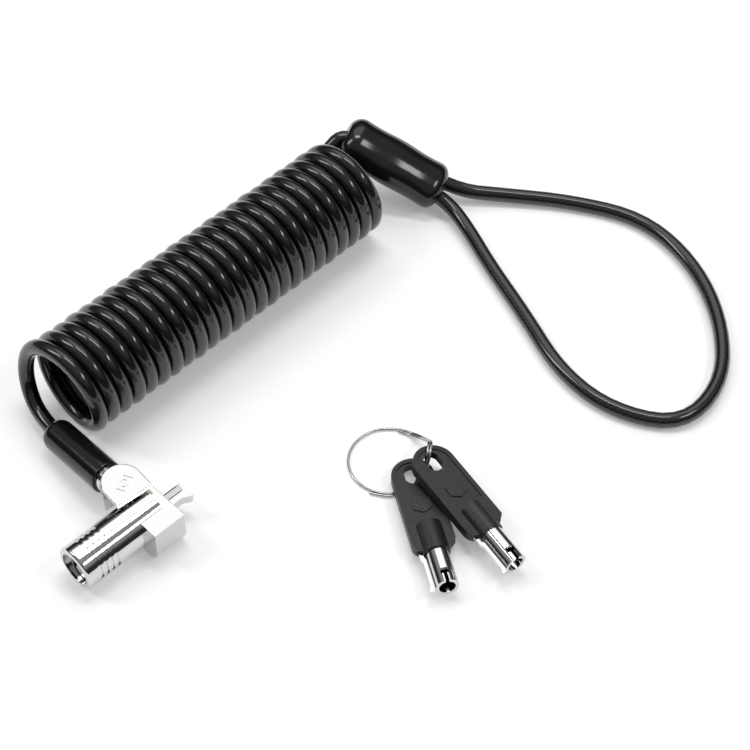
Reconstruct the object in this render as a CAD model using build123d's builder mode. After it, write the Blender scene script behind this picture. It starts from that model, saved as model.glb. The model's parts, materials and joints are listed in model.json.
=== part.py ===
"""Laptop cable lock: a keyed head with a hooked slot tip, a self-coiling steel cable with an end loop,
and two tubular keys on a split ring.  Millimetres, +Z up.

The origin is on the lock's axis in the nose face that meets the laptop.  +X runs out of the nose along the
barrel, +Y points to the side where the cable leaves, and the part lies on the plane z = FLOOR.
"""
from build123d import *
import os
from math import cos, pi, radians, sin, tan

# --- driving dimensions -------------------------------------------------------------------------------
FLOOR = -7.4  # the surface that everything lies on
FIT = 0.05  # radial running fit

BARREL_R = 6.6
BARREL_BORE_R = 5.3
BARREL_FRONT = -30.8
BARREL_BACK = -3.0
RIM_R = 4.9  # opening in the barrel's front rim
RIM_DEPTH = 1.2
GROOVE_STARTS = (-27.0, -25.1, -23.2, -21.3)
GROOVE_WIDTH = 0.95
GROOVE_DEPTH = 0.35

HOUSING_BACK = -10.6
HOUSING_TOP = 5.2
HOUSING_RIGHT = -9.9
SHELL_R = 7.4

PLUG_R = 5.2
PLUG_BACK = -21.6
KEY_OFFSET = 1.6  # the tubular keyway sits off the barrel's axis
KEY_ANGLE = 212.0
KEYWAY_OUT_R = 3.35
KEYWAY_IN_R = 2.15
KEYWAY_DEPTH = 6.4
PIN_CIRCLE_R = 2.72
PIN_R = 0.42
PIN_STEPS = (-111, -74, -37, 0, 37, 74, 111)
STATOR_FRONT = -21.4
STATOR_BACK = -15.2
DRIVE_R = 1.6
ROD_R = 1.0

BLADE_TIP = 6.7
BLADE_WIDTH = 1.8
TIP_THICKNESS = 2.8
HOOK_PIVOT_X = -2.0
HOOK_PIVOT_Y = 2.3

HINGE_X, HINGE_Y = -6.2, 10.2
HINGE_R = 1.3
BRACKET_YAW = -4.0
BRACKET_R = 5.7
BRACKET_CENTRE_Y = 8.8
CAP_BOTTOM, CAP_TOP = 6.8, 8.1
YOKE_BOTTOM, YOKE_FLOOR = -2.6, -1.2

CABLE_R = 2.3
COIL_MEAN_R = 13.55
COIL_NEAR = (3.0, 44.5)
COIL_FAR = (113.0, 46.0)
COIL_OUT_R = COIL_MEAN_R + CABLE_R
COIL_Z = FLOOR + COIL_OUT_R
COIL_IN_R = COIL_MEAN_R - CABLE_R

SLEEVE_R = 4.8
NECK_START = Vector(-6.2, 13.2, 2.5)
SLEEVE_AXIS = Vector(1.5, 26.4, -4.6).normalized()
SLEEVE_START, SLEEVE_END = 2.6, 29.4

LOOP_SLEEVE_START = Vector(125.0, 58.4, 13.4)
LOOP_SLEEVE_END = Vector(139.9, 31.4, -1.6)
LOOP_SLEEVE_SIZE = (14.6, 10.4)
LEG_SPACING = 5.2

RING_CENTRE = (57.9, -29.1)
RING_START_R = 11.0
RING_WIRE_R = 0.38
RING_PITCH = 0.8  # each turn lies this much outside the last
RING_FLAT = 0.6  # height of the wire's centre above the floor where nothing lifts it
# angle round the ring and height above the floor, where the wire threads the two keys
RING_LIFT = ((10, 0.9), (-15, 3.6), (-42, 9.1), (-62.5, 9.3), (-72, 4.9), (-86.5, 4.9), (-95.5, 0.6))

KEY_THICKNESS = 3.0
KEY_HALF_WIDTH = 6.1
KEY_LENGTH = 38.3  # from the ring hole to the tube's mouth
BOW_LENGTH = 26.4
HUMP_START = 17.5
HUMP_R = 3.8
KEY_TUBE_R = 3.25
KEY_TUBE_BORE_R = 2.3
PANEL_DEPTH = 0.35

os.makedirs("parts", exist_ok=True)


def save(builder, name):
    builder.part.label = name
    export_step(builder.part, f"parts/{name}.step")


def x_plane(x, y=0.0, z=0.0):
    """Plane across the barrel at x, with its own x along +Y and its own y along +Z."""
    return Plane(origin=(x, y, z), x_dir=(0, 1, 0), z_dir=(1, 0, 0))


def off_axis(radius, angle):
    """Place in an x_plane at a radius and angle about the keyway's centre."""
    cy = KEY_OFFSET * cos(radians(KEY_ANGLE))
    cz = KEY_OFFSET * sin(radians(KEY_ANGLE))
    return (cy + radius * cos(radians(angle)), cz + radius * sin(radians(angle)))


KEY_CENTRE = off_axis(0, 0)
PIN_PLACES = [off_axis(PIN_CIRCLE_R, KEY_ANGLE + step) for step in PIN_STEPS]

# --- housing: polished block that holds the barrel and the tip ------------------------------------------
with BuildPart() as lock_housing:
    with BuildSketch(x_plane(HOUSING_BACK)):
        with BuildLine():
            shell_top = (SHELL_R**2 - HOUSING_TOP**2) ** 0.5
            Line((HOUSING_RIGHT, HOUSING_TOP), (shell_top, HOUSING_TOP))
            ThreePointArc((shell_top, HOUSING_TOP), (SHELL_R, 0), (0, -SHELL_R))
            Line((0, -SHELL_R), (-5.4, -SHELL_R))
            TangentArc((-5.4, -SHELL_R), (HOUSING_RIGHT, -2.9), tangent=(-1, 0))
            Line((HOUSING_RIGHT, -2.9), (HOUSING_RIGHT, HOUSING_TOP))
        make_face()
    extrude(amount=-HOUSING_BACK)
    chamfer(lock_housing.faces().sort_by(Axis.X)[-1].edges(), length=0.35)
    with BuildSketch(x_plane(HOUSING_BACK)):
        Circle(BARREL_R)
    extrude(amount=BARREL_BACK - HOUSING_BACK, mode=Mode.SUBTRACT)
    with BuildSketch(x_plane(BARREL_BACK)):
        Rectangle(9.0, TIP_THICKNESS + 0.3)
    extrude(amount=-BARREL_BACK, mode=Mode.SUBTRACT)
    with BuildSketch(Plane.XY.offset(-0.9)):
        with BuildLine():
            lug_r = 2.6
            Line((HINGE_X - lug_r, 6.9), (HINGE_X - lug_r, HINGE_Y))
            ThreePointArc((HINGE_X - lug_r, HINGE_Y), (HINGE_X, HINGE_Y + lug_r), (HINGE_X + lug_r, HINGE_Y))
            Line((HINGE_X + lug_r, HINGE_Y), (HINGE_X + lug_r, 6.9))
            Line((HINGE_X + lug_r, 6.9), (HINGE_X - lug_r, 6.9))
        make_face()
    extrude(amount=5.2)
    with Locations((HINGE_X, HINGE_Y, 1.0)):
        Hole(radius=HINGE_R + FIT)
    for y in (-HOOK_PIVOT_Y, HOOK_PIVOT_Y):
        with Locations((HOOK_PIVOT_X, y, 0)):
            Cylinder(0.7, 2 * TIP_THICKNESS, mode=Mode.SUBTRACT)
save(lock_housing, "lock_housing")

# --- barrel: ribbed tube with a rolled front rim --------------------------------------------------------
with BuildPart() as lock_barrel:
    with BuildSketch(x_plane(BARREL_FRONT)):
        Circle(BARREL_R)
    extrude(amount=BARREL_BACK - BARREL_FRONT)
    fillet(lock_barrel.faces().sort_by(Axis.X)[0].edges(), radius=0.9)
    with BuildSketch(x_plane(BARREL_FRONT)):
        Circle(RIM_R)
    extrude(amount=RIM_DEPTH, mode=Mode.SUBTRACT)
    with BuildSketch(x_plane(BARREL_FRONT + RIM_DEPTH)):
        Circle(BARREL_BORE_R)
    extrude(amount=BARREL_BACK - BARREL_FRONT - RIM_DEPTH, mode=Mode.SUBTRACT)
    for start in GROOVE_STARTS:
        with BuildSketch(x_plane(start)):
            Circle(BARREL_R + 1)
            Circle(BARREL_R - GROOVE_DEPTH, mode=Mode.SUBTRACT)
            with Locations((-2.9, -6.2)):
                Rectangle(11.0, 7.0, mode=Mode.SUBTRACT, rotation=-20)
        extrude(amount=GROOVE_WIDTH, mode=Mode.SUBTRACT)
save(lock_barrel, "lock_barrel")

# --- plug: turns with the key; tubular keyway and side slot ---------------------------------------------
with BuildPart() as key_plug:
    with BuildSketch(x_plane(BARREL_FRONT + RIM_DEPTH)):
        Circle(PLUG_R)
    extrude(amount=PLUG_BACK - BARREL_FRONT - RIM_DEPTH)
    with BuildSketch(x_plane(BARREL_FRONT + RIM_DEPTH)):
        with Locations(KEY_CENTRE):
            Circle(KEYWAY_OUT_R)
            Circle(KEYWAY_IN_R, mode=Mode.SUBTRACT)
        with Locations(off_axis(4.35, KEY_ANGLE + 180)):
            Rectangle(2.7, 1.3, rotation=KEY_ANGLE)
    extrude(amount=KEYWAY_DEPTH, mode=Mode.SUBTRACT)
    with BuildSketch(x_plane(BARREL_FRONT + RIM_DEPTH + KEYWAY_DEPTH)):
        with Locations(*PIN_PLACES):
            Circle(PIN_R + FIT)
    extrude(amount=4, mode=Mode.SUBTRACT)
    with BuildSketch(x_plane(PLUG_BACK)):
        Circle(DRIVE_R)
    extrude(amount=-1.2, mode=Mode.SUBTRACT)
save(key_plug, "key_plug")

# --- drive tube: turns with the plug and draws the blade's screw rod back -------------------------------
with BuildPart() as drive_tube:
    with BuildSketch(x_plane(PLUG_BACK - 1.2)):
        Circle(DRIVE_R)
    extrude(amount=STATOR_BACK - PLUG_BACK + 1.2 + 1.3)
    with BuildSketch(x_plane(STATOR_BACK + 0.1)):
        Circle(4.2)
    extrude(amount=1.2)
    with BuildSketch(x_plane(PLUG_BACK)):
        Circle(ROD_R + FIT)
    extrude(amount=12, mode=Mode.SUBTRACT)
save(drive_tube, "drive_tube")

# --- pin stack: key pins in the plug, driver pins and springs in the fixed stator -----------------------
with BuildPart() as pin_stator:
    with BuildSketch(x_plane(STATOR_FRONT)):
        Circle(PLUG_R)
        Circle(DRIVE_R + FIT, mode=Mode.SUBTRACT)
    extrude(amount=STATOR_BACK - STATOR_FRONT)
    with BuildSketch(x_plane(STATOR_FRONT)):
        with Locations(*PIN_PLACES):
            Circle(PIN_R + FIT)
    extrude(amount=5.2, mode=Mode.SUBTRACT)
save(pin_stator, "pin_stator")


def pin_group(name, start, length, hole=0.0):
    """Seven equal pins on the keyway's circle."""
    with BuildPart() as group:
        with BuildSketch(x_plane(start)):
            with Locations(*PIN_PLACES):
                Circle(PIN_R)
        extrude(amount=length)
        if hole:
            with BuildSketch(x_plane(start)):
                with Locations(*PIN_PLACES):
                    Circle(hole)
            extrude(amount=length, mode=Mode.SUBTRACT)
    save(group, name)


pin_group("key_pins", PLUG_BACK - 1.5, 1.45)
pin_group("driver_pins", STATOR_FRONT + 0.05, 2.2)
pin_group("pin_springs", STATOR_FRONT + 2.3, 2.85, hole=0.22)

# --- locking blade: rod, crosshead and the tongue that holds the hooks apart ----------------------------
with BuildPart() as locking_blade:
    with BuildSketch(x_plane(-13.9)):
        Circle(ROD_R)
    extrude(amount=7.5)
    with BuildSketch(x_plane(-6.4)):
        Rectangle(4.0, 4.0)
    extrude(amount=1.6)
    with BuildSketch(x_plane(-4.8)):
        Rectangle(BLADE_WIDTH, TIP_THICKNESS - 0.1)
    extrude(amount=BLADE_TIP + 4.8)
    fillet(locking_blade.edges().filter_by(Axis.Z).group_by(Axis.X)[-1], radius=0.25)
save(locking_blade, "locking_blade")

# --- hooks: two outward hooks that turn about pins inside the nose --------------------------------------


def hook(name, side):
    """Hook plate on one side of the blade; its horn flares outward at the tip."""
    inner = 1.2
    with BuildPart() as plate:
        with BuildSketch(Plane.XY.offset(-TIP_THICKNESS / 2)):
            with BuildLine():
                Polyline((HOOK_PIVOT_X, side * 1.25), (7.0, side * inner), (7.6, side * (inner + 0.45)),
                         (7.8, side * 3.9), (6.9, side * 4.3), (5.9, side * 3.9))
                ThreePointArc((5.9, side * 3.9), (4.7, side * 3.2), (3.6, side * 2.95))
                Line((3.6, side * 2.95), (HOOK_PIVOT_X, side * 3.35))
                ThreePointArc((HOOK_PIVOT_X, side * 3.35), (HOOK_PIVOT_X - 1.05, side * HOOK_PIVOT_Y),
                              (HOOK_PIVOT_X, side * 1.25))
            make_face()
        extrude(amount=TIP_THICKNESS)
        with Locations((HOOK_PIVOT_X, side * HOOK_PIVOT_Y, 0)):
            Hole(radius=0.6 + FIT)
    save(plate, name)


hook("left_hook", 1)
hook("right_hook", -1)

with BuildPart() as hook_pins:
    for pivot_y in (-HOOK_PIVOT_Y, HOOK_PIVOT_Y):
        with Locations((HOOK_PIVOT_X, pivot_y, 0)):
            Cylinder(0.6, 2 * TIP_THICKNESS - 0.4)
save(hook_pins, "hook_pins")

# --- cable bracket: a yoke and a cap that turn about an upright pin -------------------------------------
BRACKET = Plane(origin=(HINGE_X, HINGE_Y, 0), x_dir=(cos(radians(BRACKET_YAW)), sin(radians(BRACKET_YAW)), 0),
                z_dir=(0, 0, 1))
ROUND_Y = BRACKET_CENTRE_Y - HINGE_Y
CAP_EDGE_Y = 2.6 - HINGE_Y
NECK = Plane(origin=NECK_START, x_dir=(1, 0, 0), z_dir=SLEEVE_AXIS)


def d_outline(straight_y):
    """D-shaped plate: round towards the cable and straight towards the barrel."""
    below = (Align.CENTER, Align.MAX)
    with BuildSketch() as outline:
        with Locations((0, ROUND_Y)):
            Circle(BRACKET_R)
            Rectangle(2 * BRACKET_R, 2 * BRACKET_R, align=below)
        with Locations((0, straight_y)):
            Rectangle(3 * BRACKET_R, 3 * BRACKET_R, align=below, mode=Mode.SUBTRACT)
    return outline.sketch


YOKE_OUTLINE = d_outline(-0.1)
CAP_OUTLINE = d_outline(CAP_EDGE_Y)


with BuildPart() as bracket_yoke:
    with BuildSketch(BRACKET.offset(YOKE_BOTTOM)):
        add(YOKE_OUTLINE)
        Circle(2.6)
    extrude(amount=CAP_BOTTOM - YOKE_BOTTOM)
    with BuildSketch(BRACKET.offset(YOKE_FLOOR)):
        Circle(3.0)
        with Locations((0, -2.5)):
            Rectangle(6.0, 5.0)
    extrude(amount=CAP_BOTTOM - YOKE_FLOOR, mode=Mode.SUBTRACT)
    with BuildSketch(BRACKET.offset(YOKE_BOTTOM)):
        Circle(HINGE_R)
    extrude(amount=-2 * YOKE_BOTTOM, mode=Mode.SUBTRACT)
    with BuildSketch(NECK.offset(0.8)):
        Circle(4.0)
    extrude(amount=6.8)
    with BuildSketch(NECK.offset(1.2)):
        Circle(2.6)
    extrude(amount=8, mode=Mode.SUBTRACT)
save(bracket_yoke, "bracket_yoke")

with BuildPart() as bracket_cap:
    with BuildSketch(BRACKET.offset(CAP_BOTTOM)):
        add(CAP_OUTLINE)
    extrude(amount=CAP_TOP - CAP_BOTTOM)
    fillet(bracket_cap.faces().sort_by(Axis.Z)[-1].edges(), radius=0.35)
    with BuildSketch(BRACKET.offset(CAP_TOP)):
        with Locations((0, -2.6)):
            RegularPolygon(2.9, 6)
            RegularPolygon(2.55, 6, mode=Mode.SUBTRACT)
            Circle(1.3)
            Circle(1.0, mode=Mode.SUBTRACT)
    extrude(amount=-0.15, mode=Mode.SUBTRACT)
save(bracket_cap, "bracket_cap")

with BuildPart() as hinge_pin:
    with BuildSketch(BRACKET.offset(YOKE_BOTTOM)):
        Circle(HINGE_R)
    extrude(amount=CAP_BOTTOM - YOKE_BOTTOM - 0.2)
save(hinge_pin, "hinge_pin")

# --- crimped cable end and its shrink sleeve ------------------------------------------------------------
with BuildPart() as cable_ferrule:
    with BuildSketch(NECK.offset(1.2)):
        Circle(2.6)
    extrude(amount=6.6)
    with BuildSketch(NECK.offset(7.7)):
        Circle(3.6)
    extrude(amount=16.0)
    with BuildSketch(NECK.offset(16.0)):
        Circle(CABLE_R)
    extrude(amount=10, mode=Mode.SUBTRACT)
save(cable_ferrule, "cable_ferrule")

with BuildPart() as strain_sleeve:
    with BuildSketch(NECK.offset(SLEEVE_START)):
        Circle(SLEEVE_R)
    extrude(amount=SLEEVE_END - SLEEVE_START)
    fillet(strain_sleeve.faces().sort_by(Axis.Y)[-1].edges(), radius=1.9)
    with BuildSketch(NECK.offset(SLEEVE_START)):
        Circle(4.05)
    extrude(amount=7.65 - SLEEVE_START, mode=Mode.SUBTRACT)
    with BuildSketch(NECK.offset(7.65)):
        Circle(3.65)
    extrude(amount=23.8 - 7.65, mode=Mode.SUBTRACT)
    with BuildSketch(NECK.offset(20)):
        Circle(CABLE_R)
    extrude(amount=12, mode=Mode.SUBTRACT)
save(strain_sleeve, "strain_sleeve")

# --- the cable: free runs as tubes, the coil as one fat tube --------------------------------------------


def swept_tube(name, points, section_r=CABLE_R):
    """Round cable or wire along straight runs joined by the largest arcs that the runs allow."""
    points = [Vector(*p) for p in points]
    runs = [points[i + 1] - points[i] for i in range(len(points) - 1)]
    radii = []
    for before, after in zip(runs, runs[1:]):
        half_turn = radians(before.get_angle(after)) / 2
        radii.append(0.45 * min(before.length, after.length) / tan(half_turn))
    with BuildPart() as tube:
        with BuildLine():
            route = FilletPolyline(*points, radius=radii)
        with BuildSketch(Plane(origin=points[0], z_dir=runs[0])):
            Circle(section_r)
        sweep()
    length = route.length
    ratio = tube.part.volume / (pi * section_r**2 * length)
    print(name, "length", round(length, 1), "volume ratio", round(ratio, 4), "radii", [round(r, 1) for r in radii])
    save(tube, name)


def coil_corner(x, centre_y, angle):
    """Corner of the eight-sided frame round one turn of the coil."""
    corner_r = COIL_MEAN_R / cos(radians(22.5))
    return (x, centre_y + corner_r * cos(radians(angle)), COIL_Z + corner_r * sin(radians(angle)))


HEAD_ROUTE = [tuple(NECK_START + SLEEVE_AXIS * 16.2), (-3.9, 50.4, -4.0), (-2.1, 58.3, 2.8),
              (-0.6, 58.2, 14.0), coil_corner(0.9, COIL_NEAR[1], 67.5), coil_corner(2.3, COIL_NEAR[1], 112.5)]
swept_tube("cable_lead", HEAD_ROUTE)

coil_along = Vector(COIL_FAR[0] - COIL_NEAR[0], COIL_FAR[1] - COIL_NEAR[1], 0)
coil_plane = Plane(origin=(COIL_NEAR[0], COIL_NEAR[1], COIL_Z), x_dir=(0, 0, 1), z_dir=coil_along)
with BuildPart() as cable_coil:
    with BuildSketch(coil_plane.offset(-CABLE_R)):
        Circle(COIL_OUT_R)
        Circle(COIL_IN_R, mode=Mode.SUBTRACT)
    extrude(amount=coil_along.length + 2 * CABLE_R)
save(cable_coil, "cable_coil")

leg_axis = (LOOP_SLEEVE_END - LOOP_SLEEVE_START).normalized()
leg_side = Vector(-leg_axis.Y, leg_axis.X, 0).normalized()
LEG_STEP = leg_side * (LEG_SPACING / 2)
OUT_LEG = LOOP_SLEEVE_END + LEG_STEP * -1
BACK_LEG = LOOP_SLEEVE_END + LEG_STEP
TAIL_ROUTE = [coil_corner(113.8, COIL_FAR[1], -67.5), coil_corner(115.2, COIL_FAR[1], -22.5),
              tuple(LOOP_SLEEVE_START - leg_axis * 4.6 + leg_side * 0.6), tuple(LOOP_SLEEVE_START + leg_axis * 9)]
swept_tube("cable_tail", TAIL_ROUTE)

LOOP_ROUTE = [tuple(OUT_LEG - leg_axis * 12), tuple(OUT_LEG + leg_axis * 2.5), (136.6, 17.2, -4.4),
              (130.2, 0.6, -5.0), (123.6, -19.6, -5.0), (115.2, -41.4, -5.0), (115.0, -61.5, -5.0),
              (125.5, -79.5, -5.0), (146.5, -77.0, -5.0), (164.2, -61.2, -5.0), (175.6, -40.5, -5.0),
              (178.4, -18.0, -5.0), (167.5, 2.6, -5.0), (154.2, 18.6, -4.4), tuple(BACK_LEG + leg_axis * 3.5),
              tuple(BACK_LEG - leg_axis * 12)]
swept_tube("cable_loop", LOOP_ROUTE)

# --- loop sleeve and the two crimps that close the loop -------------------------------------------------
LEGS = Plane(origin=LOOP_SLEEVE_START, x_dir=leg_side, z_dir=leg_axis)
SLEEVE_LENGTH = (LOOP_SLEEVE_END - LOOP_SLEEVE_START).length
with BuildPart() as loop_sleeve:
    with BuildSketch(LEGS):
        Ellipse(LOOP_SLEEVE_SIZE[0] / 2, LOOP_SLEEVE_SIZE[1] / 2)
    extrude(amount=SLEEVE_LENGTH)
    with BuildSketch(LEGS.offset(8)):
        Ellipse(LOOP_SLEEVE_SIZE[0] / 2 - 0.9, LOOP_SLEEVE_SIZE[1] / 2 - 0.9)
    extrude(amount=SLEEVE_LENGTH, mode=Mode.SUBTRACT)
    with BuildSketch(LEGS.offset(-1)):
        Circle(CABLE_R)
    extrude(amount=12, mode=Mode.SUBTRACT)
save(loop_sleeve, "loop_sleeve")

with BuildPart() as loop_crimps:
    for start in (SLEEVE_LENGTH - 20.5, SLEEVE_LENGTH - 10.5):
        with BuildSketch(LEGS.offset(start)):
            SlotOverall(12.2, 6.8)
            with Locations((-LEG_SPACING / 2, 0), (LEG_SPACING / 2, 0)):
                Circle(CABLE_R, mode=Mode.SUBTRACT)
        extrude(amount=8)
save(loop_crimps, "loop_crimps")

# --- keys: moulded bow, tube and side fin ---------------------------------------------------------------


def key(name, hole, heading, pitch, roll):
    """One tubular key; its plane starts at the ring hole with x along the key and z out of the bow."""
    at = Plane(Location(hole) * Rotation(0, 0, heading) * Rotation(0, pitch, 0) * Rotation(roll, 0, 0))
    half = KEY_THICKNESS / 2

    def across(x):
        return Plane(origin=at.from_local_coords((x, 0, 0)), x_dir=at.y_dir, z_dir=at.x_dir)

    with BuildPart() as bow:
        with BuildSketch(at.offset(-half)):
            with BuildLine():
                w = KEY_HALF_WIDTH
                Line((0, -w), (BOW_LENGTH - 3.5, -w))
                TangentArc((BOW_LENGTH - 3.5, -w), (BOW_LENGTH, -w + 3), tangent=(1, 0))
                Line((BOW_LENGTH, -w + 3), (BOW_LENGTH, w - 3))
                Line((BOW_LENGTH, w - 3), (BOW_LENGTH - 3, w))
                Line((BOW_LENGTH - 3, w), (0, w))
                ThreePointArc((0, w), (-w, 0), (0, -w))
            make_face()
        extrude(amount=KEY_THICKNESS)
        with BuildSketch(across(HUMP_START)):
            Circle(HUMP_R)
        extrude(amount=BOW_LENGTH - HUMP_START + 0.6)
        with BuildSketch(at.offset(half - PANEL_DEPTH), at.offset(-half)):
            with BuildLine():
                Line((0.5, -w + 1.3), (15.8, -w + 1.3))
                Line((15.8, -w + 1.3), (15.8, w - 1.3))
                Line((15.8, w - 1.3), (0.5, w - 1.3))
                ThreePointArc((0.5, w - 1.3), (-w + 1.3, 0), (0.5, -w + 1.3))
            make_face()
        extrude(amount=PANEL_DEPTH, mode=Mode.SUBTRACT)
        with BuildSketch(at.offset(half - PANEL_DEPTH), at.offset(-half)):
            with Locations((10.2, 0)):
                RegularPolygon(3.1, 6)
        extrude(amount=PANEL_DEPTH)
        with BuildSketch(at.offset(-half)):
            with Locations((-0.7, 0)):
                SlotOverall(6.6, 4.6)
        extrude(amount=KEY_THICKNESS, mode=Mode.SUBTRACT)
        with BuildSketch(across(HUMP_START + 2)):
            Circle(KEY_TUBE_R)
        extrude(amount=12, mode=Mode.SUBTRACT)
        with BuildSketch(at.offset(-0.6)):
            with Locations((BOW_LENGTH - 1, -3.9)):
                Rectangle(6.0, 2.4)
        extrude(amount=1.2, mode=Mode.SUBTRACT)
    save(bow, name + "_bow")
    with BuildPart() as tube:
        with BuildSketch(across(HUMP_START + 2)):
            Circle(KEY_TUBE_R)
        extrude(amount=KEY_LENGTH - HUMP_START - 2)
        with BuildSketch(across(HUMP_START + 6)):
            Circle(KEY_TUBE_BORE_R)
        extrude(amount=20, mode=Mode.SUBTRACT)
        with BuildSketch(at):
            with Locations((KEY_LENGTH - 3.4, 0)):
                Rectangle(1.7, 2.4)
            with Locations((KEY_LENGTH - 1.5, 0)):
                Rectangle(3.4, 1.0)
        extrude(amount=5, mode=Mode.SUBTRACT)
    save(tube, name + "_tube")
    with BuildPart() as fin:
        with BuildSketch(at.offset(-0.5)):
            with BuildLine():
                Polyline((BOW_LENGTH - 3.8, -3.4), (BOW_LENGTH - 3.8, -4.9), (BOW_LENGTH + 2.2, -4.9),
                         (BOW_LENGTH + 3.0, -4.4), (KEY_LENGTH - 1.0, -4.4), (KEY_LENGTH + 0.9, -5.2),
                         (KEY_LENGTH + 0.9, -3.8), (KEY_LENGTH, -3.4), (BOW_LENGTH - 3.8, -3.4))
            make_face()
        extrude(amount=1.0)
    save(fin, name + "_fin")


key("key_1", (62.4, -42.3, FLOOR + 7.0), -100.2, 2.2, -6)
key("key_2", (57.3, -39.3, FLOOR + 2.85), -121.0, -3.2, 0)

# --- split ring: spring wire wound one and a half times, which threads both keys ------------------------
lift = dict(RING_LIFT)
turn_angles = [31] + [angle for angle, _ in RING_LIFT] + list(range(-120, -310, -20))
ring_points = []
for angle in turn_angles + [angle - 360 for angle in turn_angles if angle > -165]:
    height = lift.get(angle, lift.get(angle + 360, RING_FLAT))
    corner_r = RING_START_R + RING_PITCH * (31 - angle) / 360
    ring_points.append((RING_CENTRE[0] + corner_r * cos(radians(angle)),
                        RING_CENTRE[1] + corner_r * sin(radians(angle)), FLOOR + height))
swept_tube("split_ring", ring_points, RING_WIRE_R)
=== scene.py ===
"""Looks of the laptop cable lock: one wound cable from the bracket to the loop, metal and moulded finishes,
a pale floor and soft studio light.  Metres, in the model's own frame."""
import json
from math import cos, pi, radians, sin

import bpy
import numpy as np
from mathutils import Matrix, Vector


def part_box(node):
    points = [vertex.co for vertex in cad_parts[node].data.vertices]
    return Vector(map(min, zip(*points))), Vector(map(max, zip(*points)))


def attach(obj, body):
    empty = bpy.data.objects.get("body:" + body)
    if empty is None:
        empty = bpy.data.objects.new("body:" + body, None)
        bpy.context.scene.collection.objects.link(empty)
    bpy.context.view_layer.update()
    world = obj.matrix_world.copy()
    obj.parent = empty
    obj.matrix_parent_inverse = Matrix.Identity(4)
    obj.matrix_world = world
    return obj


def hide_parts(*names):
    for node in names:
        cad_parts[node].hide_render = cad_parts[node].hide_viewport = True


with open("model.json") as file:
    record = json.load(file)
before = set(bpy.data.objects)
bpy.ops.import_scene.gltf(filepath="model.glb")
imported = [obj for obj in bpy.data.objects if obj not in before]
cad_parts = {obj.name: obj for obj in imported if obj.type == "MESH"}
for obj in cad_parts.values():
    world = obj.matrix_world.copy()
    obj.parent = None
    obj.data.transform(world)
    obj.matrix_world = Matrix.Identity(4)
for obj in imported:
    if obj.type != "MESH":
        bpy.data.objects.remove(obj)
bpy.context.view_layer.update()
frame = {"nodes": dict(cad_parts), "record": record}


# --- camera ---------------------------------------------------------------------------------------------
# It looks down at a point on the floor below the middle of the lock, turned about Z from looking along +Y.
# The floor is level with the housing's or the coil's lowest point, whichever is lower.
FLOOR = min(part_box(name)[0][2] for name in ("lock_housing", "cable_coil"))
TARGET = Vector((0.0772, -0.0037, FLOOR))
VIEW_TURN = radians(-44.2)
VIEW_TILT = radians(51.0)
VIEW_DISTANCE = 0.605
FOCAL_LENGTH = 99.8  # millimetres, on a sensor of 36

lens = bpy.data.cameras.new("camera")
lens.lens = FOCAL_LENGTH
lens.sensor_width = 36
lens.clip_start = 0.01
camera = bpy.data.objects.new("camera", lens)
bpy.context.scene.collection.objects.link(camera)
away = Vector((0, -cos(VIEW_TILT), sin(VIEW_TILT))) * VIEW_DISTANCE
camera.location = TARGET + Matrix.Rotation(VIEW_TURN, 3, "Z") @ away
camera.rotation_euler = (pi / 2 - VIEW_TILT, 0, VIEW_TURN)
bpy.context.scene.camera = camera


# --- floor and light ------------------------------------------------------------------------------------
# A wide sheet of matt white paper, lit by one large box and three narrow ones under a pale ceiling.
# The paper glows a little, which keeps the shadows pale.
PAPER_WHITE = (0.93, 0.93, 0.935, 1)
PAPER_GLOW = 0.24
HALF_FLOOR = 3.0


def node_material(name):
    """New material with its Principled shader; returns the material, its nodes, links and shader."""
    material = bpy.data.materials.new(name)
    material.use_nodes = True
    nodes = material.node_tree.nodes
    return material, nodes, material.node_tree.links, nodes["Principled BSDF"]


def mesh_object(name, points, faces, smooth=True):
    """Object whose mesh has those points, in metres, and those faces."""
    mesh = bpy.data.meshes.new(name)
    mesh.from_pydata(np.asarray(points, dtype=float).tolist(), [], faces)
    mesh.polygons.foreach_set("use_smooth", [smooth] * len(mesh.polygons))
    mesh.update()
    made = bpy.data.objects.new(name, mesh)
    bpy.context.scene.collection.objects.link(made)
    return made


paper, _, _, paper_shader = node_material("floor_paper")
paper_shader.inputs["Base Color"].default_value = PAPER_WHITE
paper_shader.inputs["Roughness"].default_value = 0.9
paper_shader.inputs["Specular IOR Level"].default_value = 0.1
paper_shader.inputs["Emission Color"].default_value = (1, 1, 1, 1)
paper_shader.inputs["Emission Strength"].default_value = PAPER_GLOW
floor = mesh_object("floor", [(x * HALF_FLOOR, y * HALF_FLOOR, FLOOR)
                              for x, y in ((-1, -1), (1, -1), (1, 1), (-1, 1))], [(0, 1, 2, 3)])
floor.data.materials.append(paper)


def studio_world(ceiling, horizon, fade=(0.30, 0.62)):
    """Pale ceiling that fades smoothly to a dark horizon between two heights, the sines of the angles above
    level, so that polished metal shows clear light and dark bands."""
    world = bpy.data.worlds.new("studio")
    world.use_nodes = True
    nodes, links = world.node_tree.nodes, world.node_tree.links
    direction = nodes.new("ShaderNodeTexCoord")
    split = nodes.new("ShaderNodeSeparateXYZ")
    fall = nodes.new("ShaderNodeMapRange")
    fall.interpolation_type = "SMOOTHSTEP"
    fall.inputs["From Min"].default_value = fade[0]
    fall.inputs["From Max"].default_value = fade[1]
    fall.inputs["To Min"].default_value = horizon
    fall.inputs["To Max"].default_value = ceiling
    links.new(direction.outputs["Generated"], split.inputs[0])
    links.new(split.outputs["Z"], fall.inputs["Value"])
    links.new(fall.outputs["Result"], nodes["Background"].inputs["Strength"])
    nodes["Background"].inputs["Color"].default_value = (1, 1, 1, 1)
    bpy.context.scene.world = world


studio_world(ceiling=0.32, horizon=0.03)
bpy.context.scene.view_settings.view_transform = "Standard"


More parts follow.
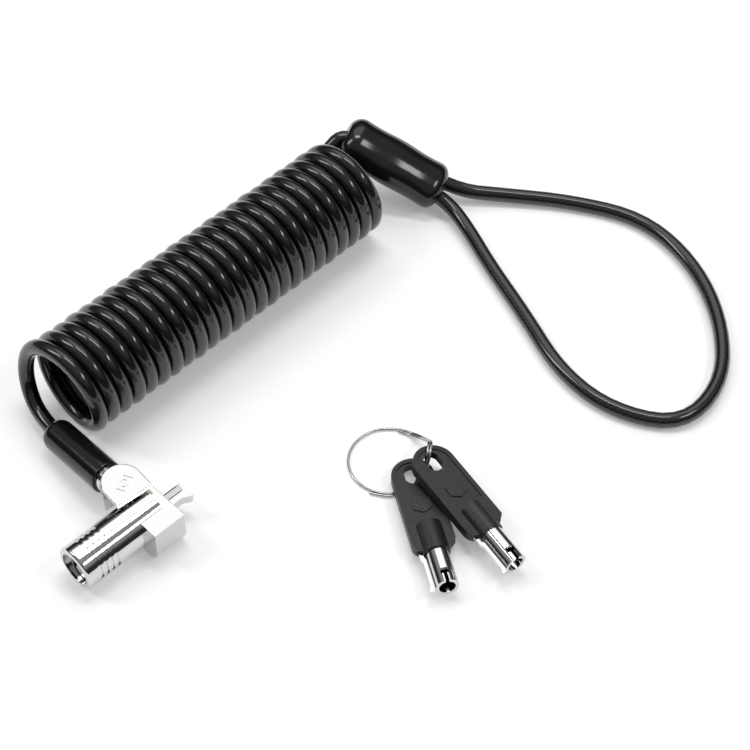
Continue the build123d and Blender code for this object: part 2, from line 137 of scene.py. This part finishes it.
def softbox(name, turn, tilt, distance, width, height, power):
    """Rectangular lamp that faces the target, placed by its turn from the view and its height angle."""
    lamp = bpy.data.lights.new(name, "AREA")
    lamp.shape = "RECTANGLE"
    lamp.size, lamp.size_y, lamp.energy = width, height, power
    placed = bpy.data.objects.new(name, lamp)
    bpy.context.scene.collection.objects.link(placed)
    out = Vector((0, -cos(radians(tilt)), sin(radians(tilt)))) * distance
    placed.location = TARGET + Matrix.Rotation(VIEW_TURN + radians(turn), 3, "Z") @ out
    placed.rotation_euler = (TARGET - placed.location).to_track_quat("-Z", "Y").to_euler()


softbox("top_box", 180, 56, 1.2, 1.1, 0.7, 2.9)
softbox("high_strip", 170, 80, 0.9, 0.5, 0.12, 2.0)
softbox("left_box", -100, 45, 1.1, 0.2, 0.6, 2.6)
softbox("right_strip", 72, 52, 1.1, 0.45, 0.14, 1.9)


# --- cable ----------------------------------------------------------------------------------------------
# One steel cable in a clear smoky jacket runs from the bracket's ferrule through the coil to the loop, where
# it comes back into its own sleeve.
MM = 0.001
CABLE_R = 2.3 * MM
COIL_TURNS = 24
COIL_MEAN_R = 13.55
COIL_Z = FLOOR / MM + COIL_MEAN_R + CABLE_R / MM
COIL_NEAR = (3.0, 44.5)
COIL_FAR = (113.0, 46.0)
COIL_OVERRUN = 1.8  # how far the last turn ends past COIL_FAR
TURN_POINTS = 16

HEAD_POINTS = [(-5.33, 29.05, -0.26), (-4.9, 37.0, -1.6), (-4.2, 45.0, -2.8), (-2.9, 52.6, -2.2),
               (-1.1, 57.5, 2.9), (0.3, 58.7, 9.2), (1.5, 57.2, 15.6), (2.4, 52.0, 20.4)]
SLEEVE_START = np.array((125.0, 58.4, 13.4))
SLEEVE_END = np.array((139.9, 31.4, -1.6))
LEG_AXIS = (SLEEVE_END - SLEEVE_START) / np.linalg.norm(SLEEVE_END - SLEEVE_START)
LEG_SIDE = np.array((-LEG_AXIS[1], LEG_AXIS[0], 0)) / np.hypot(LEG_AXIS[0], LEG_AXIS[1])
OUT_LEG = SLEEVE_END - LEG_SIDE * 2.6
BACK_LEG = SLEEVE_END + LEG_SIDE * 2.6
TAIL_POINTS = [(116.0, 59.9, 9.0), (118.5, 59.9, 9.8),
               tuple(SLEEVE_START - LEG_AXIS * 1.0), tuple(SLEEVE_START + LEG_AXIS * 9)]
LOOP_POINTS = [tuple(OUT_LEG - LEG_AXIS * 12), tuple(OUT_LEG + LEG_AXIS * 2.5), (136.6, 17.2, -4.4),
               (130.2, 0.6, -5.0), (123.6, -19.6, -5.0), (115.2, -41.4, -5.0), (115.0, -61.5, -5.0),
               (125.5, -79.5, -5.0), (146.5, -77.0, -5.0), (164.2, -61.2, -5.0), (175.6, -40.5, -5.0),
               (178.4, -18.0, -5.0), (167.5, 2.6, -5.0), (154.2, 18.6, -4.4),
               tuple(BACK_LEG + LEG_AXIS * 3.5), tuple(BACK_LEG - LEG_AXIS * 12)]


def coil_points():
    """Helix: each point lies at the mean radius and an angle round the coil's axis, and moves along it in
    proportion to the angle.  Slow sine waves in radius and spacing keep the turns from being quite even.
    Dividing by the cosine of half a step makes the curve, which runs inside its points, keep the radius."""
    first, last = pi / 2, 2 * pi * COIL_TURNS
    count = int(TURN_POINTS * (last - first) / (2 * pi)) + 1
    points = []
    for angle in np.linspace(first, last, count):
        share = (angle - first) / (last - first)
        slack = 0.18 * sin(2.3 * angle / (2 * pi)) + 0.12 * sin(0.71 * angle)
        radius = COIL_MEAN_R / cos(pi / TURN_POINTS) + 0.12 * sin(0.37 * angle) - 0.12
        x = COIL_NEAR[0] + (COIL_FAR[0] + COIL_OVERRUN - COIL_NEAR[0]) * share
        y = COIL_NEAR[1] + (COIL_FAR[1] - COIL_NEAR[1]) * share
        points.append((x + 0.25 * slack, y + radius * cos(angle), COIL_Z + radius * sin(angle)))
    return points


def nurbs_line(name, points):
    """Open NURBS curve with those control points, in millimetres."""
    curve = bpy.data.curves.new(name, "CURVE")
    curve.dimensions = "3D"
    curve.resolution_u = 5
    spline = curve.splines.new("NURBS")
    spline.points.add(len(points) - 1)
    for point, place in zip(spline.points, points):
        point.co = (*[value * MM for value in place], 1)
    spline.order_u = 3
    spline.use_endpoint_u = True
    made = bpy.data.objects.new(name, curve)
    bpy.context.scene.collection.objects.link(made)
    return made


def line_points(line):
    """Points along a curve with no bevel, as an array."""
    mesh = bpy.data.meshes.new_from_object(line)
    points = np.array([v.co[:] for v in mesh.vertices])
    bpy.data.meshes.remove(mesh)
    return points


def frames_along(points):
    """Tangent and two normals at each point, carried along the line without twist."""
    tangent = np.gradient(points, axis=0)
    tangent /= np.linalg.norm(tangent, axis=1)[:, None]
    side = np.cross(tangent[0], (0.3, 0.2, 0.93))
    sides = []
    for direction in tangent:
        side = side - direction * side.dot(direction)
        side /= np.linalg.norm(side)
        sides.append(side)
    sides = np.array(sides)
    return tangent, sides, np.cross(tangent, sides)


def ring_faces(rows, ring):
    """Quads between neighbouring rows of a closed ring of points, and a flat cap at each end.  They face
    outwards when each row's points run right-handed about the way the rows go."""
    corner = np.arange(rows * ring).reshape(rows, ring)
    beside = np.roll(corner, -1, axis=1)
    quads = np.stack([corner[:-1], beside[:-1], beside[1:], corner[1:]], axis=-1).reshape(-1, 4)
    return quads.tolist() + [corner[0, ::-1].tolist(), corner[-1].tolist()]


def tube_along(name, points, radius, ring=20):
    """Tube whose cross-section is a circle about each point; UVs hold length along and angle round."""
    _, side, up = frames_along(points)
    angles = np.linspace(0, 2 * pi, ring, endpoint=False)
    circle = np.cos(angles)[None, :, None] * side[:, None, :] + np.sin(angles)[None, :, None] * up[:, None, :]
    skin = (points[:, None, :] + radius * circle).reshape(-1, 3)
    made = mesh_object(name, skin, ring_faces(len(points), ring))
    steps = np.linalg.norm(np.diff(points, axis=0), axis=1)
    along = np.concatenate([[0], np.cumsum(steps)])
    low, high = along[:-1, None], along[1:, None]
    near, far = np.arange(ring)[None, :] / ring, np.arange(1, ring + 1)[None, :] / ring
    corners = [np.stack(np.broadcast_arrays(u, v), axis=-1)
               for u, v in ((low, near), (low, far), (high, far), (high, near))]
    caps = [np.zeros(2 * ring), np.tile((along[-1], 0), ring)]
    layer = made.data.uv_layers.new(name="run")
    layer.data.foreach_set("uv", np.concatenate([np.stack(corners, axis=2).ravel(), *caps]))
    return made, float(along[-1])


cable_line = nurbs_line("cable_route", HEAD_POINTS + coil_points() + TAIL_POINTS + LOOP_POINTS)
cable_path = line_points(cable_line)
bpy.data.objects.remove(cable_line)
cable, cable_length = tube_along("cable", cable_path, CABLE_R)
LOOP_RUN = 0.30  # metres at the cable's end, about the length of the loop
LOOP_FADE = 0.06
ROPE_LAY = 0.0155
ROPE_STRANDS = 9


def strand_group():
    """Node group: a steel rope's twisted strands, as the sine of the angle round the cable, which gains a
    turn with every lay along it, times the number of strands.  Mask has narrow crests; Soft is plain."""
    group = bpy.data.node_groups.new("cable_strands", "ShaderNodeTree")
    group.interface.new_socket("Mask", in_out="OUTPUT", socket_type="NodeSocketFloat")
    group.interface.new_socket("Soft", in_out="OUTPUT", socket_type="NodeSocketFloat")
    add = group.nodes.new
    link = group.links.new
    uv = add("ShaderNodeUVMap")
    uv.uv_map = "run"
    split = add("ShaderNodeSeparateXYZ")
    along = add("ShaderNodeMath")
    along.operation = "MULTIPLY"
    along.inputs[1].default_value = 2 * pi / ROPE_LAY
    round_ = add("ShaderNodeMath")
    round_.operation = "MULTIPLY"
    round_.inputs[1].default_value = 2 * pi
    both = add("ShaderNodeMath")
    both.operation = "ADD"
    strands = add("ShaderNodeMath")
    strands.operation = "MULTIPLY"
    strands.inputs[1].default_value = ROPE_STRANDS
    wave = add("ShaderNodeMath")
    wave.operation = "SINE"
    half = add("ShaderNodeMath")
    half.operation = "MULTIPLY_ADD"
    half.inputs[1].default_value = 0.5
    half.inputs[2].default_value = 0.5
    sharp = add("ShaderNodeMath")
    sharp.operation = "POWER"
    sharp.inputs[1].default_value = 2.2
    out = add("NodeGroupOutput")
    link(uv.outputs["UV"], split.inputs[0])
    link(split.outputs["X"], along.inputs[0])
    link(split.outputs["Y"], round_.inputs[0])
    link(along.outputs[0], both.inputs[0])
    link(round_.outputs[0], both.inputs[1])
    link(both.outputs[0], strands.inputs[0])
    link(strands.outputs[0], wave.inputs[0])
    link(wave.outputs[0], half.inputs[0])
    link(half.outputs[0], sharp.inputs[0])
    link(sharp.outputs[0], out.inputs["Mask"])
    link(half.outputs[0], out.inputs["Soft"])
    return group


def cable_material():
    """Smoky clear jacket: dark twisted steel below, with a smooth clear coat."""
    material, nodes, links, shader = node_material("cable_jacket_clear")
    strands = nodes.new("ShaderNodeGroup")
    strands.node_tree = strand_group()
    tint = nodes.new("ShaderNodeMix")
    tint.data_type = "RGBA"
    tint.inputs["A"].default_value = (0.002, 0.002, 0.0022, 1)
    tint.inputs["B"].default_value = (0.016, 0.0145, 0.014, 1)
    bump = nodes.new("ShaderNodeBump")
    bump.inputs["Strength"].default_value = 0.08
    bump.inputs["Distance"].default_value = 0.0002
    # The rope shows faintly along the coil and clearly in the loop, which is the last of the cable.
    run = nodes.new("ShaderNodeUVMap")
    run.uv_map = "run"
    split = nodes.new("ShaderNodeSeparateXYZ")
    clearer = nodes.new("ShaderNodeMapRange")
    clearer.inputs["From Min"].default_value = cable_length - LOOP_RUN - LOOP_FADE
    clearer.inputs["From Max"].default_value = cable_length - LOOP_RUN
    clearer.inputs["To Min"].default_value = 0.3
    clearer.inputs["To Max"].default_value = 1.0
    seen = nodes.new("ShaderNodeMath")
    seen.operation = "MULTIPLY"
    links.new(run.outputs["UV"], split.inputs[0])
    links.new(split.outputs["X"], clearer.inputs["Value"])
    links.new(clearer.outputs["Result"], seen.inputs[0])
    links.new(strands.outputs["Mask"], seen.inputs[1])
    links.new(seen.outputs[0], tint.inputs["Factor"])
    links.new(tint.outputs["Result"], shader.inputs["Base Color"])
    links.new(strands.outputs["Soft"], bump.inputs["Height"])
    links.new(bump.outputs["Normal"], shader.inputs["Normal"])
    shader.inputs["Roughness"].default_value = 0.4
    shader.inputs["Specular IOR Level"].default_value = 0.2
    shader.inputs["Coat Weight"].default_value = 1.0
    shader.inputs["Coat Roughness"].default_value = 0.09
    shader.inputs["Coat IOR"].default_value = 1.5
    return material


cable.data.materials.append(cable_material())
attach(cable, "cable")
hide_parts("cable_lead", "cable_coil", "cable_tail", "cable_loop")


# --- sleeves --------------------------------------------------------------------------------------------
# Glossy black plastic sleeves, shrunk on: a round one over the crimp at the head, and a wide flat one, gently
# uneven in width, over the loop's two crimps.
def swept_sleeve(name, start, end, profile, ring=48):
    """Closed body on a straight axis.  Each row is an ellipse across it, and profile holds the rows' places
    along the axis, half widths and half thicknesses, as three arrays in millimetres."""
    start, end = np.array(start), np.array(end)
    axis = (end - start) / np.linalg.norm(end - start)
    side = np.cross((0, 0, 1), axis)
    side /= np.linalg.norm(side)
    up = np.cross(axis, side)
    turn = np.linspace(0, 2 * pi, ring, endpoint=False)[None, :, None]
    place, wide, thick = (column[:, None, None] for column in profile)
    points = start + axis * place + side * wide * np.cos(turn) + up * thick * np.sin(turn)
    return mesh_object(name, points.reshape(-1, 3) * MM, ring_faces(len(place), ring))


def rounded_profile(length, wide, thick, nose, tail, swell=0.0, steps=72, taper=0.62, bluntness=2.4):
    """Rows crowded towards both ends.  Over the nose and tail lengths the section shrinks as the root of one
    less a power of the way out; between them it swells by a cosine with two waves in the length."""
    at = length * (0.5 - 0.5 * np.cos(pi * np.linspace(0, 1, steps)))
    shoulders = [np.sqrt(1 - taper * (1 - np.clip(gap / reach, 0, 1)) ** bluntness)
                 for gap, reach in ((at, nose), (length - at, tail))]
    between = (at >= nose) & (length - at >= tail)
    scale = shoulders[0] * shoulders[1] * (1 + swell * np.cos(4 * pi * at / length) * between)
    return at, wide * scale, thick * scale


def grain_group():
    """Node group: fine noise that moves the roughness between two values and tilts the surface slightly."""
    group = bpy.data.node_groups.new("fine_grain", "ShaderNodeTree")
    for socket in ("Scale", "Detail", "Smoothest", "Roughest", "Strength", "Distance"):
        group.interface.new_socket(socket, in_out="INPUT", socket_type="NodeSocketFloat")
    group.interface.new_socket("Roughness", in_out="OUTPUT", socket_type="NodeSocketFloat")
    group.interface.new_socket("Normal", in_out="OUTPUT", socket_type="NodeSocketVector")
    add = group.nodes.new
    link = group.links.new
    given = add("NodeGroupInput")
    place = add("ShaderNodeTexCoord")
    noise = add("ShaderNodeTexNoise")
    rough = add("ShaderNodeMapRange")
    bump = add("ShaderNodeBump")
    out = add("NodeGroupOutput")
    link(place.outputs["Object"], noise.inputs["Vector"])
    link(given.outputs["Scale"], noise.inputs["Scale"])
    link(given.outputs["Detail"], noise.inputs["Detail"])
    link(noise.outputs["Fac"], rough.inputs["Value"])
    link(given.outputs["Smoothest"], rough.inputs["To Min"])
    link(given.outputs["Roughest"], rough.inputs["To Max"])
    link(given.outputs["Strength"], bump.inputs["Strength"])
    link(given.outputs["Distance"], bump.inputs["Distance"])
    link(noise.outputs["Fac"], bump.inputs["Height"])
    link(rough.outputs["Result"], out.inputs["Roughness"])
    link(bump.outputs["Normal"], out.inputs["Normal"])
    return group


FINE_GRAIN = grain_group()


def grain_node(nodes, **values):
    """The fine grain placed in one material, with that material's own values."""
    placed = nodes.new("ShaderNodeGroup")
    placed.node_tree = FINE_GRAIN
    for socket, value in values.items():
        placed.inputs[socket].default_value = value
    return placed


def sleeve_material():
    """Black plastic with a soft gloss and a fine unevenness."""
    material, nodes, links, shader = node_material("sleeve_gloss")
    grain = grain_node(nodes, Scale=140, Detail=2, Strength=0.12, Distance=0.0006)
    links.new(grain.outputs["Normal"], shader.inputs["Normal"])
    shader.inputs["Base Color"].default_value = (0.007, 0.007, 0.0085, 1)
    shader.inputs["Roughness"].default_value = 0.16
    shader.inputs["Specular IOR Level"].default_value = 0.55
    return material


SLEEVE_BLACK = sleeve_material()
NECK = np.array((-6.2, 13.2, 2.5))
NECK_WAY = np.array((1.5, 26.4, -4.6))
NECK_AXIS = NECK_WAY / np.linalg.norm(NECK_WAY)
STRAIN_FROM, STRAIN_TO = 2.6, 29.4
STRAIN_R = 4.8
LOOP_HALF_WIDTH, LOOP_HALF_THICKNESS = 8.2, 6.4
strain = swept_sleeve("strain_sleeve_skin", NECK + NECK_AXIS * STRAIN_FROM, NECK + NECK_AXIS * STRAIN_TO,
                      rounded_profile(STRAIN_TO - STRAIN_FROM, STRAIN_R, STRAIN_R, nose=0.5, tail=3.4))
strain.data.materials.append(SLEEVE_BLACK)
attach(strain, "cable")
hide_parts("strain_sleeve")

sleeve_length = float(np.linalg.norm(SLEEVE_END - SLEEVE_START))
loop_skin = swept_sleeve("loop_sleeve_skin", SLEEVE_START, SLEEVE_END,
                         rounded_profile(sleeve_length, LOOP_HALF_WIDTH, LOOP_HALF_THICKNESS,
                                         nose=4.5, tail=3.5, swell=0.022))
loop_skin.data.materials.append(SLEEVE_BLACK)
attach(loop_skin, "cable")
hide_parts("loop_sleeve")


# --- head, bracket, keys and ring -----------------------------------------------------------------------
# The housing, barrel, hooks, bracket and keys' metal are nickel plated.  The plug, blade, ring and springs are
# plain steel, the pins brass, and the keys' bows moulded in black plastic.  Each slot name has one finish.
def metal(name, colour, roughness, wear, grain=0.0):
    """Plated or cut metal of one colour, with polish marks in the roughness and a fine grain."""
    material, nodes, links, shader = node_material(name)
    marks = grain_node(nodes, Scale=420, Detail=5, Smoothest=max(0.02, roughness - wear),
                       Roughest=roughness + wear, Strength=0.04 + grain, Distance=0.00005)
    links.new(marks.outputs["Roughness"], shader.inputs["Roughness"])
    links.new(marks.outputs["Normal"], shader.inputs["Normal"])
    shader.inputs["Base Color"].default_value = (*colour, 1)
    shader.inputs["Metallic"].default_value = 1.0
    return material


def bow_material():
    """Matt black plastic with fine wavy lines moulded slantwise across it."""
    material, nodes, links, shader = node_material("bow_moulded")
    place = nodes.new("ShaderNodeTexCoord")
    turned = nodes.new("ShaderNodeMapping")
    turned.inputs["Rotation"].default_value = (0, 0, radians(-58))
    wave = nodes.new("ShaderNodeTexWave")
    wave.inputs["Scale"].default_value = 520
    wave.inputs["Distortion"].default_value = 2.0
    wave.inputs["Detail Scale"].default_value = 1.0
    bump = nodes.new("ShaderNodeBump")
    bump.inputs["Strength"].default_value = 0.35
    bump.inputs["Distance"].default_value = 0.0001
    tint = nodes.new("ShaderNodeMix")
    tint.data_type = "RGBA"
    tint.inputs["A"].default_value = (0.007, 0.007, 0.0075, 1)
    tint.inputs["B"].default_value = (0.018, 0.018, 0.019, 1)
    links.new(place.outputs["Object"], turned.inputs["Vector"])
    links.new(turned.outputs["Vector"], wave.inputs["Vector"])
    links.new(wave.outputs["Fac"], tint.inputs["Factor"])
    links.new(wave.outputs["Fac"], bump.inputs["Height"])
    links.new(tint.outputs["Result"], shader.inputs["Base Color"])
    links.new(bump.outputs["Normal"], shader.inputs["Normal"])
    shader.inputs["Roughness"].default_value = 0.42
    return material


FINISHES = {
    "bright_nickel": metal("nickel_polished", (0.66, 0.65, 0.64), 0.09, 0.03),
    "satin_steel": metal("steel_satin", (0.46, 0.45, 0.445), 0.22, 0.07, grain=0.1),
    "pin_brass": metal("brass_turned", (0.74, 0.54, 0.26), 0.22, 0.06, grain=0.08),
    "cable_jacket": SLEEVE_BLACK,
    "sleeve_black": SLEEVE_BLACK,
    "bow_black": bow_material(),
}
for entry in frame["record"]["subparts"]:
    node = frame["nodes"][entry["node"]]
    node.data.materials.clear()
    node.data.materials.append(FINISHES[entry["material_slot"]])
